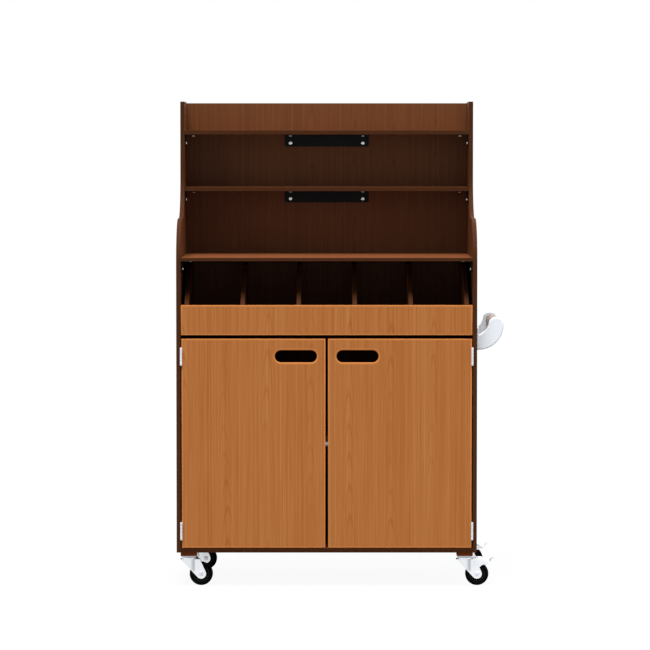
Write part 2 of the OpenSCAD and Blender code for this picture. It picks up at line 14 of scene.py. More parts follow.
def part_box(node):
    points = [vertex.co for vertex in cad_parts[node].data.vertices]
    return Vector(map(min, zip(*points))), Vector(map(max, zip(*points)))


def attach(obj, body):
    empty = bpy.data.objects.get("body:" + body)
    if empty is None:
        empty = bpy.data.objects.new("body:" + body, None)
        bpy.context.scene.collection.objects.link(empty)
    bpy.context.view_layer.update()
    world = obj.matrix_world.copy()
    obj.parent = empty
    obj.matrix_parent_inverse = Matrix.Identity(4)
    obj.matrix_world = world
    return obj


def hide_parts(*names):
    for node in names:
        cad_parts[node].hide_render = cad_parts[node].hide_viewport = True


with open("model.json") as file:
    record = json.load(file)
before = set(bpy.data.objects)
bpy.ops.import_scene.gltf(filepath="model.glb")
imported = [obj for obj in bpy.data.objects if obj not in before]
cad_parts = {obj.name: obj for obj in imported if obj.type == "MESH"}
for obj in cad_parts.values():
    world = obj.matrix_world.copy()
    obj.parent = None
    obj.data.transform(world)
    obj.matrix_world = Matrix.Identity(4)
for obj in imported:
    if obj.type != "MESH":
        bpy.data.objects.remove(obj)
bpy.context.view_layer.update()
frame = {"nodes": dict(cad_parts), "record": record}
MM = 0.001

BODY_OF = {node: body for body, nodes in frame["record"]["behaviour"]["bodies"].items() for node in nodes}
CORNERS = ("front_left", "front_right", "rear_left", "rear_right")
UPRIGHTS = ["tray_side_left", "tray_side_right"] + [f"tray_divider_{i}" for i in range(1, 5)]
ARMS = ("handle_arm_front", "handle_arm_rear")

# The cabinet's middle and its front edges, from which places are measured
MIDDLE_X = (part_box("side_panel_left")[0].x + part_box("side_panel_right")[1].x) / 2
FRONT_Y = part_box("side_panel_left")[0].y

# The photograph's size and lens in pixels, the column that the lens points at, and the camera's place
IMAGE_PX = 650
FOCAL_PX = 3500
AXIS_PX = 326.7
SENSOR_MM = 36
CAMERA_DISTANCE = 11.958
CAMERA_HEIGHT = 1.505
CAMERA_PITCH = math.radians(2.895)

# Boards: their rounded edges, the side panels' outline, the doors' slots and the dividers' sloped ends
CARCASS_ROUND = 0.8 * MM
PANEL_ROUND = 1.0 * MM
FRONT_ROUND = 1.5 * MM
EDGE_STRIP = 3.5 * MM
LEDGE_Z = 1.2615
HUTCH_SETBACK = 0.3715
SHOULDER_R = 0.150
COVE_R = 0.145
SLOT_X = 0.1055
SLOT_Z = 0.7925
SLOT_SIZE = (0.144, 0.042)
SLOT_ROUND = 3 * MM
DIVIDER_SLOPE = math.radians(30)

# Angle brackets
BRACKET_LEG = 0.042
BRACKET_STEEL = 3 * MM
BRACKET_CORNER = 9 * MM
BRACKET_BEND = 4.5 * MM
BRACKET_HOLE = 0.029
LONG_BRACKET = 0.300
LONG_PITCH = 0.258
SIDE_BRACKET = 0.100
SIDE_BRACKET_Y = 0.4295
COUNTER_BRACKET_Y = 0.110

# Castors, in metres from the swivel axis and the floor
TRAIL = 0.0425
WHEEL_R = 0.040
TYRE_INNER_R = 0.028
TYRE_W = 0.025
AXLE_HEAD_R = 7.5 * MM
LEG_OUT = 0.016
LEG_END_R = 0.017
CROWN = (-0.029, 0.0375)
CROWN_TOP = 0.092
FORK_STEEL = 2.5 * MM
GROOVE_DEPTH = 0.9 * MM
RACE_TOP = 0.0958
RACE_R = 0.0250
PLATE_TOP = 0.103
PLATE_T = 3 * MM
PLATE_SIDE = 0.052
PLATE_CORNER = 5 * MM
PLATE_EDGE = 0.5 * MM
PLATE_HOLE = 0.0195
CUP_R = 0.024
KINGPIN_R = 5 * MM

# Softened rims of bent sheet steel
STEEL_RIM = 0.3 * MM

# Pan-head screws
HEAD_R = 6 * MM
HEAD_H = 3.6 * MM
SHANK_R = 2.2 * MM
SHANK_L = 12 * MM

# Mesh attribute that marks where shade is painted into a pressed groove
GROOVE_SHADE_ATTRIBUTE = "groove_film"

# Printed grain: how often each kind of mark changes across a metre of board, and along it
GRAIN = {"bands": (24, 0.25), "streaks": (150, 0.5), "fine": (480, 4), "pores": (900, 26), "wander": (4, 1.3)}

# Arched figures in the grain: columns a metre, arches a metre along a column, how many arches further on
# an arch meets its column's edge, and the share of the tone that they take
COLUMNS_A_METRE = 7
ARCHES_A_METRE = 9
ARCH_REACH = 15
ARCH_TONE = 0.17

# Studio light: the sky's cool colour, its strength at the horizon and its rise to the top
SKY_COLOUR = (0.82, 1.0, 1.12, 1.0)
SKY_LOW = 0.1
SKY_RISE = 0.35

# Far soft lamps: azimuth, elevation and spread in degrees, and strength. Azimuth 0 shines from the front
# and 90 from the right, as seen from the front.
LAMPS = {
    "key": (-9, 65, 32, 4.45),
    "top": (180, 77, 10, 0.7),
    "left_fill": (-46, 10, 20, 0.2),
    "side_fill": (85, 20, 30, 0.6),
    "back_fill": (165, 38, 30, 0.8),
}

# Handle
BAR_Z = 0.898
BAR_R = 0.015
BAR_REACH = 0.067
ARM_BAND = 0.052
ARM_T = 0.022
ARM_LEAN = 14 * MM
ARM_ROUND = 4 * MM
FLANGE_T = 7 * MM
FLANGE_SIZE = (0.030, 0.079)
FLANGE_CORNER = 6 * MM
FLANGE_ROUND = 2 * MM


def srgb(red, green, blue):
    """A colour from its 0 to 255 values."""
    levels = [value / 255 for value in (red, green, blue)]
    linear = [v / 12.92 if v <= 0.04045 else ((v + 0.055) / 1.055) ** 2.4 for v in levels]
    return (*linear, 1.0)


# ---- Node expressions ----


class Field:
    """A socket's value. Python's operators on it add Math nodes."""

    def __init__(self, graph, socket):
        self.graph = graph
        self.socket = socket

    def math(self, operation, *others):
        return self.graph.node("ShaderNodeMath", {"operation": operation}, dict(enumerate((self, *others))))

    def __add__(self, other):
        return self.math("ADD", other)

    def __sub__(self, other):
        return self.math("SUBTRACT", other)

    def __mul__(self, other):
        return self.math("MULTIPLY", other)

    def __pow__(self, other):
        return self.math("POWER", other)

    def __rsub__(self, other):
        return self.graph.node("ShaderNodeMath", {"operation": "SUBTRACT"}, {0: other, 1: self})

    __radd__ = __add__
    __rmul__ = __mul__

    def clamped(self):
        return self.math("MAXIMUM", 0.0).math("MINIMUM", 1.0)


class Graph:
    """A node tree, and the one method that adds its nodes."""

    def __init__(self, tree):
        self.tree = tree

    def node(self, kind, settings=None, sockets=None, out=0):
        made = self.tree.nodes.new(kind)
        for name, value in (settings or {}).items():
            if name == "stops":
                set_stops(made.color_ramp, value)
            else:
                setattr(made, name, value)
        for name, value in (sockets or {}).items():
            for item in value if isinstance(value, list) else [value]:
                if isinstance(item, Field):
                    self.tree.links.new(item.socket, made.inputs[name])
                else:
                    made.inputs[name].default_value = item
        return Field(self, made.outputs[out]) if len(made.outputs) else None

    def mix(self, low, high, factor):
        """Colour from low to high."""
        return self.node("ShaderNodeMix", {"data_type": "RGBA"}, {0: factor, 6: low, 7: high}, out=2)

    def noise(self, vector, scale, detail, roughness=0.5):
        sockets = {"Vector": vector, "Scale": scale, "Detail": detail, "Roughness": roughness}
        return self.node("ShaderNodeTexNoise", sockets=sockets)

    def parts(self, vector):
        """The three numbers of a vector."""
        split = self.node("ShaderNodeSeparateXYZ", sockets={0: vector}).socket.node
        return [Field(self, socket) for socket in split.outputs]

    def vector(self, x, y, z):
        return self.node("ShaderNodeCombineXYZ", sockets={0: x, 1: y, 2: z})


def set_stops(ramp, stops):
    """Sets a colour ramp from (position, colour) pairs."""
    while len(ramp.elements) < len(stops):
        ramp.elements.new(1.0)
    for element, (position, colour) in zip(ramp.elements, stops):
        element.position = position
        element.color = colour


def new_finish(name):
    """A new material, its graph and its place on the object."""
    material = bpy.data.materials.new(name)
    material.use_nodes = True
    material.node_tree.nodes.clear()
    graph = Graph(material.node_tree)
    return material, graph, graph.node("ShaderNodeTexCoord", out=3)


def surface(graph, colour, roughness, bump, bump_height, **fixed):
    """Principled shader and output. fixed holds values that are the same all over."""
    raised = graph.node("ShaderNodeBump", sockets={"Strength": 1.0, "Distance": bump_height, "Height": bump})
    sockets = {"Base Color": colour, "Roughness": roughness, "Normal": raised}
    sockets.update({name.replace("_", " "): value for name, value in fixed.items()})
    shader = graph.node("ShaderNodeBsdfPrincipled", sockets=sockets)
    graph.node("ShaderNodeOutputMaterial", sockets={"Surface": shader})


# ---- Finishes ----


def laminate(name, tones, grain_axis, contrast=1.0, gloss=0.08):
    """Printed wood-grain laminate: bands, streaks, pores and faint arched figures along grain_axis."""
    dark, middle, light = tones
    material, graph, place = new_finish(name)
    numbers = dict(zip("xyz", graph.parts(place)))
    along = numbers.pop(grain_axis)
    side, depth = numbers.values()

    def marks(kind, detail, roughness=0.5):
        across, lengthwise = GRAIN[kind]
        stretched = graph.vector(side * across, depth * across, along * lengthwise)
        return graph.noise(stretched, 1.0, detail, roughness)

    streaks = marks("streaks", 4.0, 0.6)
    fine = marks("fine", 3.0, 0.6)
    wander = marks("wander", 2.0)
    # Columns of arches side by side, which show in patches and fade towards their columns' edges
    column = (side + depth + wander * 0.06) * COLUMNS_A_METRE
    off_middle = (column.math("FRACT") - 0.5) * 2
    patch = graph.noise(graph.vector(column.math("FLOOR") * 7.3, along * 1.7, 0.0), 1.0, 1.0)
    arches = along * ARCHES_A_METRE + off_middle * off_middle * ARCH_REACH + wander * 2
    shown = (1 - off_middle * off_middle * 2.5).clamped() * ((patch - 0.42) * 6).clamped()
    figure = ((arches * (2 * math.pi)).math("SINE").math("MAXIMUM", 0.0) ** 3 - 0.3) * shown
    mottle = (marks("bands", 2.0) - 0.5) * 0.24 + (streaks - 0.5) * 0.62 + (fine - 0.5) * 0.75
    tone = 0.5 + (mottle - figure * ARCH_TONE) * contrast
    ramp = graph.node("ShaderNodeValToRGB", {"stops": [(0.2, dark), (0.5, middle), (0.8, light)]}, {0: tone})
    surface(
        graph,
        ramp,
        0.5 + (streaks - 0.5) * 0.16,
        bump=fine * 0.5 + marks("pores", 1.0) * 0.5,
        bump_height=0.06 * MM,
        Specular_IOR_Level=gloss,
    )
    return material


def edge_band(name, colour, worn):
    """Plain plastic edging with a faint mottle."""
    material, graph, place = new_finish(name)
    mottle = graph.noise(place, 60.0, 3.0)
    speckle = graph.noise(place, 900.0, 2.0)
    surface(
        graph,
        graph.mix(colour, worn, (mottle - 0.2).clamped()),
        0.5 + speckle * 0.14,
        bump=speckle,
        bump_height=0.03 * MM,
        Specular_IOR_Level=0.02,
    )
    return material


def powder_coat():
    """Black powder coat with an orange-peel skin and a little dust."""
    material, graph, place = new_finish("black_powder_coat")
    orange_peel = graph.noise(place, 700.0, 2.0)
    dust = graph.noise(place, 24.0, 3.0)
    surface(
        graph,
        graph.mix(srgb(20, 22, 24), srgb(28, 30, 32), dust),
        0.5 + orange_peel * 0.12,
        bump=orange_peel,
        bump_height=0.08 * MM,
        Specular_IOR_Level=0.1,
    )
    return material


def zinc(name, dark, light, roughness, metallic):
    """Zinc plating with drawn marks, cloudy tarnish, and painted shade where the mesh's groove attribute says
    so.
    """
    material, graph, place = new_finish(name)
    x, y, z = graph.parts(place)
    drawn = graph.noise(graph.vector(x * 900, y * 900, z * 70), 1.0, 3.0)
    cloud = graph.noise(place, 45.0, 3.0)
    painted_groove_shade = graph.node("ShaderNodeAttribute", {"attribute_name": GROOVE_SHADE_ATTRIBUTE}, out=2)
    plating = graph.mix(dark, light, (cloud * 0.8 + drawn * 0.4).clamped())
    surface(
        graph,
        # The grey here is painted shade, mixed in as far as the groove attribute says
        graph.mix(plating, srgb(176, 180, 188), painted_groove_shade),
        roughness + (drawn - 0.5) * 0.12,
        bump=drawn,
        bump_height=0.02 * MM,
        Metallic=metallic,
    )
    return material


def moulded(name, colour, shade, roughness, gloss=0.35):
    """Injection-moulded plastic with a fine spark-eroded skin."""
    material, graph, place = new_finish(name)
    skin = graph.noise(place, 500.0, 2.0)
    flow = graph.noise(place, 16.0, 2.0)
    surface(
        graph,
        graph.mix(shade, colour, flow),
        roughness + (skin - 0.5) * 0.1,
        bump=skin,
        bump_height=0.03 * MM,
        Specular_IOR_Level=gloss,
    )
    return material


def tyre_rubber():
    """Black rubber, scuffed in patches."""
    material, graph, place = new_finish("black_tyre")
    scuffs = graph.noise(place, 130.0, 4.0)
    skin = graph.noise(place, 1100.0, 2.0)
    surface(
        graph,
        graph.mix(srgb(6, 6, 7), srgb(15, 15, 15), (scuffs * scuffs * 1.6).clamped()),
        0.7 + scuffs * 0.2,
        bump=skin,
        bump_height=0.04 * MM,
        Specular_IOR_Level=0.02,
    )
    return material


def lacquered_bar():
    """Brown lacquered wood, with its grain along the bar."""
    material, graph, place = new_finish("brown_bar")
    x, y, z = graph.parts(place)
    grain = graph.noise(graph.vector(x * 320, y * 9, z * 320), 1.0, 4.0, 0.6)
    bands = graph.noise(graph.vector(x * 60, y * 2.2, z * 60), 1.0, 2.0)
    colour = graph.node(
        "ShaderNodeValToRGB",
        {"stops": [(0.25, srgb(102, 64, 36)), (0.55, srgb(136, 90, 54)), (0.8, srgb(158, 110, 72))]},
        {0: grain * 0.6 + bands * 0.4},
    )
    surface(graph, colour, 0.26 + grain * 0.1, bump=grain, bump_height=0.08 * MM, Specular_IOR_Level=0.5)
    return material


def seen_directly(graph):
    """1 for camera rays and for rays that left metal or glass."""
    rays = graph.node("ShaderNodeLightPath").socket.node.outputs
    kinds = ("Is Camera Ray", "Is Glossy Ray", "Is Transmission Ray")
    camera_ray, glossy_ray, clear_ray = (Field(graph, rays[kind]) for kind in kinds)
    return (camera_ray + glossy_ray + clear_ray).clamped()


def pale_floor():
    """A grey floor for the light that it sends back, which looks nearly white and keeps a trace of shadow."""
    material, graph, place = new_finish("pale_floor")
    grain = graph.noise(place, 30.0, 2.0)
    pale = graph.mix((0.20, 0.20, 0.20, 1), (0.22, 0.22, 0.22, 1), grain)
    lit = graph.node("ShaderNodeBsdfDiffuse", sockets={"Color": pale})
    shaded = graph.node("ShaderNodeBsdfDiffuse", sockets={"Color": (0.9, 0.9, 0.9, 1)})
    glow = graph.node("ShaderNodeEmission", sockets={"Color": (1, 1, 1, 1), "Strength": 0.98})
    shown = graph.node("ShaderNodeMixShader", sockets={0: 0.04, 1: glow, 2: shaded})
    mixed = graph.node("ShaderNodeMixShader", sockets={0: seen_directly(graph), 1: lit, 2: shown})
    graph.node("ShaderNodeOutputMaterial", sockets={"Surface": mixed})
    return material


FRONT_TONES = (srgb(161, 87, 38), srgb(175, 107, 55), srgb(188, 126, 72))
CARCASS_TONES = (srgb(88, 49, 25), srgb(104, 60, 30), srgb(119, 70, 37))
# The carcass laminate in lighter tones for boards that lie flat: painted light on their lit top faces
PAINTED_LIGHT_FLAT_TONES = (srgb(98, 55, 30), srgb(113, 63, 35), srgb(128, 74, 43))
# The blocks' own redder wood, with painted light: tones lifted to offset the shade that the base casts on
# them
BLOCK_PAINTED_LIGHT_TONES = (srgb(128, 61, 24), srgb(146, 71, 30), srgb(162, 82, 38))
FINISH = {
    "front": laminate("front_laminate", FRONT_TONES, "z"),
    "front_edge": edge_band("front_edging", srgb(196, 120, 62), srgb(206, 130, 70)),
    "carcass": laminate("carcass_laminate", CARCASS_TONES, "z", 1.2, 0.16),
    # Flat-lying boards: grain along x, and lighter tones that are painted light
    "carcass_flat_painted_light": laminate("carcass_laminate_flat_painted_light", PAINTED_LIGHT_FLAT_TONES, "x", 0.9, 0.1),
    "carcass_edge": edge_band("carcass_edging", srgb(69, 39, 22), srgb(79, 46, 27)),
    # The carcass edging darkened for the base panel's front edge: painted shade
    "base_edge_painted_shade": edge_band("base_edging_painted_shade", srgb(60, 31, 16), srgb(70, 37, 20)),
    # The blocks' finish carries painted light that offsets the base's shade
    "block_painted_light": laminate("block_laminate_painted_light", BLOCK_PAINTED_LIGHT_TONES, "x"),
    "black": powder_coat(),
    "zinc": zinc("bright_zinc", srgb(196, 199, 205), srgb(232, 234, 239), 0.3, 0.85),
    "pressed_zinc": zinc("pressed_zinc", srgb(234, 238, 243), srgb(249, 251, 253), 0.32, 0.9),
    "plate_zinc": zinc("plate_zinc", srgb(196, 200, 208), srgb(222, 226, 233), 0.55, 0.7),
    "dull_zinc": zinc("dull_zinc", srgb(212, 211, 225), srgb(230, 229, 240), 0.55, 0.75),
    "white": moulded("white_plastic", srgb(241, 245, 249), srgb(236, 240, 245), 0.38),
    "grey": moulded("grey_plastic", srgb(198, 200, 203), srgb(184, 186, 190), 0.5),
    "hub": moulded("hub_plastic", srgb(26, 26, 27), srgb(20, 20, 21), 0.6, gloss=0.1),
    "tyre": tyre_rubber(),
    "bar": lacquered_bar(),
    "floor": pale_floor(),
}

# A board's finishes: its faces, then its edges
CARCASS = ("carcass", "carcass_edge")
# Flat-lying boards, in the lighter laminate that paints light onto them
PAINTED_LIGHT_FLAT = ("carcass_flat_painted_light", "carcass_edge")
FRONT = ("front", "front_edge")


# ---- Meshes ----


def arc(centre, radius, start, end, steps):
    """Points on a circle, from start to end degrees."""
    angles = [math.radians(start + (end - start) * i / steps) for i in range(steps + 1)]
    return [(centre[0] + radius * math.cos(a), centre[1] + radius * math.sin(a)) for a in angles]


def inset(loop, distance):
    """The loop moved to its left by distance, with mitred corners."""
    shifted = []
    count = len(loop)
    for i, point in enumerate(loop):
        here = Vector(point)
        before = (here - Vector(loop[i - 1])).normalized()
        after = (Vector(loop[(i + 1) % count]) - here).normalized()
        along = (before + after).normalized()
        shifted.append(here + Vector((-along.y, along.x)) * distance / max(along.dot(before), 0.2))
    return shifted


def rectangle(low, high):
    return [(low[0], low[1]), (high[0], low[1]), (high[0], high[1]), (low[0], high[1])]


def rounded_rectangle(centre, half, corner):
    """A rectangle with round corners, from its middle and half its sides."""
    points = []
    for turn, (sx, sy) in enumerate(((1, -1), (1, 1), (-1, 1), (-1, -1))):
        place = (centre[0] + sx * (half[0] - corner), centre[1] + sy * (half[1] - corner))
        points += arc(place, corner, turn * 90 - 90, turn * 90, 6)
    return points


def piece_from(name, bm, finishes):
    """A new object from a bmesh that is already in place."""
    mesh = bpy.data.meshes.new(name)
    bm.to_mesh(mesh)
    bm.free()
    piece = bpy.data.objects.new(name, mesh)
    bpy.context.scene.collection.objects.link(piece)
    for finish in finishes:
        mesh.materials.append(FINISH[finish])
    return piece


def settled(piece):
    """The piece with its modifiers turned into plain mesh."""
    evaluated = piece.evaluated_get(bpy.context.evaluated_depsgraph_get())
    mesh = bpy.data.meshes.new_from_object(evaluated)
    piece.modifiers.clear()
    piece.data = mesh
    return piece


def add_slab(bm, loops, thickness, to_place, steps=4, strip=0.0, edge_index=0):
    """Adds a plate with rounded edges. loops holds (points, radius) pairs: the outline counter-clockwise,
    then its holes clockwise. Its two faces get material 0. Its edges, and a strip beside them, get the
    material at edge_index."""
    caps = ([], [])
    for points, radius in loops:
        turns = [math.pi / 2 * i / steps for i in range(steps + 1)]
        profile = [(radius * (1 - math.sin(t)), radius * (1 - math.cos(t))) for t in turns]
        if strip:
            profile.insert(0, (radius + strip, 0.0))
        straight = len(profile) - 1
        profile += [(d, thickness - w) for d, w in reversed(profile)]
        rings = []
        for distance, w in profile:
            ring = [bm.verts.new(to_place(p[0], p[1], w)) for p in inset(points, distance)]
            rings.append(ring)
        for row, (low, high) in enumerate(zip(rings, rings[1:])):
            for i in range(len(low)):
                j = (i + 1) % len(low)
                face = bm.faces.new((low[i], low[j], high[j], high[i]))
                face.material_index = edge_index
                face.smooth = row != straight
        for cap, ring in zip(caps, (rings[0], rings[-1])):
            cap.append(ring)
    for cap in caps:
        if len(cap) == 1:
            bm.faces.new(cap[0])
            continue
        edges = [bm.edges.get((ring[i - 1], ring[i])) for ring in cap for i in range(len(ring))]
        bmesh.ops.triangle_fill(bm, edges=edges, use_beauty=True, use_dissolve=False)


def slab(name, loops, thickness, to_place, finishes, steps=4, strip=0.0):
    """A plate with two finishes: its faces, then its edges."""
    bm = bmesh.new()
    add_slab(bm, loops, thickness, to_place, steps, strip, edge_index=1)
    bmesh.ops.recalc_face_normals(bm, faces=bm.faces)
    return piece_from(name, bm, finishes)


def add_lathe(bm, profile, matrix, segments):
    """Adds a turned shape: profile holds (radius, height) pairs from one end to the other."""
    rings = []
    for radius, height in profile:
        if radius < 1e-7:
            rings.append([bm.verts.new(matrix @ Vector((0, 0, height)))])
            continue
        turns = [2 * math.pi * i / segments for i in range(segments)]
        ring = [Vector((radius * math.cos(t), radius * math.sin(t), height)) for t in turns]
        rings.append([bm.verts.new(matrix @ point) for point in ring])
    for low, high in zip(rings, rings[1:]):
        for i in range(segments):
            j = (i + 1) % segments
            corners = [low[i % len(low)], low[j % len(low)], high[j % len(high)], high[i % len(high)]]
            corners = list(dict.fromkeys(corners))
            if len(corners) > 2:
                bm.faces.new(corners).smooth = True


def rounded_profile(radius, low, high, edge):
    """Profile of a disc from height low to high, with rounded edges."""
    under = arc((radius - edge, low + edge), edge, -90, 0, 4)
    over = arc((radius - edge, high - edge), edge, 0, 90, 4)
    return [(0.0, low), *under, *over, (0.0, high)]


def both_sides(half):
    """A profile from its half below height 0."""
    return half + [(radius, -height) for radius, height in reversed(half)]


def lathe(name, profile, matrix, finish, segments=48):
    """A turned piece."""
    bm = bmesh.new()
    add_lathe(bm, profile, matrix, segments)
    bmesh.ops.remove_doubles(bm, verts=bm.verts, dist=1e-7)
    bmesh.ops.recalc_face_normals(bm, faces=bm.faces)
    return piece_from(name, bm, [finish])


def bevelled(piece, width, angle):
    """The piece as plain mesh, with the edges sharper than angle rounded off."""
    rim = piece.modifiers.new("rim", "BEVEL")
    rim.width = width
    rim.segments = 2
    rim.limit_method = "ANGLE"
    rim.angle_limit = math.radians(angle)
    return settled(piece)


def sheet_metal(name, sheets, thickness, finish):
    """Bent sheet steel from rows of points on its outer faces, thickened inwards, with softened rims."""
    bm = bmesh.new()
    for rows in sheets:
        grid = [[bm.verts.new(point) for point in row] for row in rows]
        for low, high in zip(grid, grid[1:]):
            for i in range(len(low) - 1):
                bm.faces.new((low[i], low[i + 1], high[i + 1], high[i])).smooth = True
    bmesh.ops.remove_doubles(bm, verts=bm.verts, dist=1e-6)
    piece = piece_from(name, bm, [finish])
    solid = piece.modifiers.new("steel", "SOLIDIFY")
    solid.thickness = thickness
    solid.offset = -1
    solid.use_even_offset = True
    return bevelled(piece, STEEL_RIM, 40)


def softened(node, finish, edge):
    """A copy of a node's own solid with its edges rounded off."""
    bm = bmesh.new()
    bm.from_mesh(frame["nodes"][node].data)
    bmesh.ops.remove_doubles(bm, verts=bm.verts, dist=1e-6)
    bmesh.ops.dissolve_limit(bm, angle_limit=math.radians(0.5), verts=bm.verts, edges=bm.edges)
    piece = bevelled(piece_from(node + "_finished", bm, [finish]), edge, 30)
    smooth_by_angle(piece.data, math.radians(28))
    return piece


def smooth_by_angle(mesh, angle):
    """Smooth shading, with the edges sharper than angle kept sharp."""
    bm = bmesh.new()
    bm.from_mesh(mesh)
    for face in bm.faces:
        face.smooth = True
    for edge in bm.edges:
        edge.smooth = len(edge.link_faces) == 2 and edge.calc_face_angle() < angle
    bm.to_mesh(mesh)
    bm.free()


def go_with(piece, node):
    """The piece moves as the node does."""
    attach(piece, BODY_OF[node])


def dress(piece, node):
    """The piece stands for the node."""
    go_with(piece, node)
    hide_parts(node)


# ---- Geometry node trees ----


def new_tree(name, inputs):
    """A geometry tree with named inputs, whose result is realised and finished."""
    tree = bpy.data.node_groups.new(name, "GeometryNodeTree")
    interface = tree.interface
    interface.new_socket("Geometry", in_out="INPUT", socket_type="NodeSocketGeometry")
    interface.new_socket("Geometry", in_out="OUTPUT", socket_type="NodeSocketGeometry")
    for label, kind, value in inputs:
        socket = interface.new_socket(label, in_out="INPUT", socket_type=kind)
        if value is not None:
            socket.default_value = value
    graph = Graph(tree)
    entry = tree.nodes.new("NodeGroupInput")
    given = {socket.name: Field(graph, socket) for socket in entry.outputs if socket.name}
    return graph, given


def close_tree(graph, geometry, finish):
    """Ends a tree in Realize Instances and Set Material."""
    real = graph.node("GeometryNodeRealizeInstances", sockets={0: geometry})
    made = graph.node("GeometryNodeSetMaterial", sockets={"Geometry": real, "Material": finish})
    graph.node("NodeGroupOutput", sockets={0: made})
    return graph.tree


def moved(graph, geometry, position):
    return graph.node("GeometryNodeTransform", sockets={"Geometry": geometry, "Translation": position})


def pan_screw_tree():
    """A pan-head screw with a cross recess on each point, facing along the point's facing."""
    graph, given = new_tree(
        "pan_screws",
        [
            ("Head radius", "NodeSocketFloat", HEAD_R),
            ("Head height", "NodeSocketFloat", HEAD_H),
            ("Shank radius", "NodeSocketFloat", SHANK_R),
            ("Shank length", "NodeSocketFloat", SHANK_L),
            ("Finish", "NodeSocketMaterial", None),
        ],
    )
    radius, height = given["Head radius"], given["Head height"]
    around, rings = 28, 8
    side_power, top_power = 0.5, 0.8
    recess_long, recess_wide, recess_lift = 1.15, 0.22, 1.02
    grid = graph.node(
        "GeometryNodeMeshGrid",
        sockets={"Size X": 1.0, "Size Y": 1.0, "Vertices X": around + 1, "Vertices Y": rings},
    )
    x, y, _ = graph.parts(graph.node("GeometryNodeInputPosition"))
    turn = (x + 0.5) * (2 * math.pi)
    rise = (y + 0.5) * (math.pi / 2)
    reach = rise.math("COSINE").math("MAXIMUM", 0.0) ** side_power * radius
    lift = rise.math("SINE").math("MAXIMUM", 0.0) ** top_power * height
    dome = graph.node(
        "GeometryNodeSetPosition",
        sockets={
            "Geometry": grid,
            "Position": graph.vector(turn.math("COSINE") * reach, turn.math("SINE") * reach, lift),
        },
    )
    base = graph.node("GeometryNodeMeshCircle", {"fill_type": "NGON"}, {"Vertices": around, "Radius": radius})
    closed = graph.node("GeometryNodeJoinGeometry", sockets={0: [dome, base]})
    closed = graph.node("GeometryNodeMergeByDistance", sockets={"Geometry": closed, "Distance": 0.01 * MM})
    closed = graph.node("GeometryNodeSetShadeSmooth", sockets={"Geometry": closed})
    bars = []
    for long, wide in ((recess_long, recess_wide), (recess_wide, recess_long)):
        size = graph.vector(radius * long, radius * wide, height)
        bar = graph.node("GeometryNodeMeshCube", sockets={"Size": size})
        bars.append(moved(graph, bar, graph.vector(0.0, 0.0, height * recess_lift)))
    head = graph.node(
        "GeometryNodeMeshBoolean", {"operation": "DIFFERENCE"}, {"Mesh 1": closed, "Mesh 2": bars}
    )
    shank = graph.node(
        "GeometryNodeMeshCylinder",
        sockets={"Vertices": 16, "Radius": given["Shank radius"], "Depth": given["Shank length"]},
    )
    shank = moved(graph, shank, graph.vector(0.0, 0.0, given["Shank length"] * -0.5))
    screw = graph.node("GeometryNodeJoinGeometry", sockets={0: [head, shank]})
    facing = graph.node(
        "GeometryNodeInputNamedAttribute", {"data_type": "FLOAT_VECTOR"}, {"Name": "facing"}
    )
    turned = graph.node("FunctionNodeAlignRotationToVector", {"axis": "Z"}, {"Vector": facing})
    placed = graph.node(
        "GeometryNodeInstanceOnPoints",
        sockets={"Points": given["Geometry"], "Instance": screw, "Rotation": turned},
    )
    return close_tree(graph, placed, given["Finish"])


def grown(name, points, tree, settings):
    """The plain mesh that a geometry tree makes on (place, facing) points."""
    mesh = bpy.data.meshes.new(name)
    mesh.from_pydata([place for place, _ in points], [], [])
    facing = mesh.attributes.new("facing", "FLOAT_VECTOR", "POINT")
    facing.data.foreach_set("vector", [number for _, way in points for number in way])
    piece = bpy.data.objects.new(name, mesh)
    bpy.context.scene.collection.objects.link(piece)
    modifier = piece.modifiers.new("made", "NODES")
    modifier.node_group = tree
    for item in tree.interface.items_tree:
        if item.in_out == "INPUT" and item.name in settings:
            modifier[item.identifier] = settings[item.name]
    return settled(piece)


SCREW_TREE = pan_screw_tree()


def screws(name, node, points, radius=HEAD_R, height=HEAD_H, shank=SHANK_L, finish="zinc"):
    """Pan-head screws on (place, facing) points, for a node of screws."""
    settings = {
        "Head radius": radius,
        "Head height": height,
        "Shank radius": SHANK_R,
        "Shank length": shank,
        "Finish": FINISH[finish],
    }
    dress(grown(name, points, SCREW_TREE, settings), node)


# ---- Boards ----


def plane_of(axis, low, high):
    """How a slab's own u, v and w run for a board whose thickness lies along an axis, and its thickness."""
    if axis == "x":
        return lambda u, v, w: Vector((low.x + w, u, v)), high.x - low.x
    if axis == "y":
        return lambda u, v, w: Vector((u, low.y + w, v)), high.y - low.y
    return lambda u, v, w: Vector((u, v, low.z + w)), high.z - low.z


def flat_of(axis, corner):
    """A corner's u and v."""
    return {"x": (corner.y, corner.z), "y": (corner.x, corner.z), "z": (corner.x, corner.y)}[axis]


def board(node, axis, loops, finishes, steps=4, strip=0.0):
    """A node's board, cut to loops in its own plane."""
    to_place, thickness = plane_of(axis, *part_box(node))
    dress(slab(node + "_board", loops, thickness, to_place, finishes, steps, strip), node)


def plain_board(node, axis, finishes, radius=CARCASS_ROUND, strip=0.0):
    low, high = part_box(node)
    outline = rectangle(flat_of(axis, low), flat_of(axis, high))
    board(node, axis, [(outline, radius)], finishes, strip=strip)


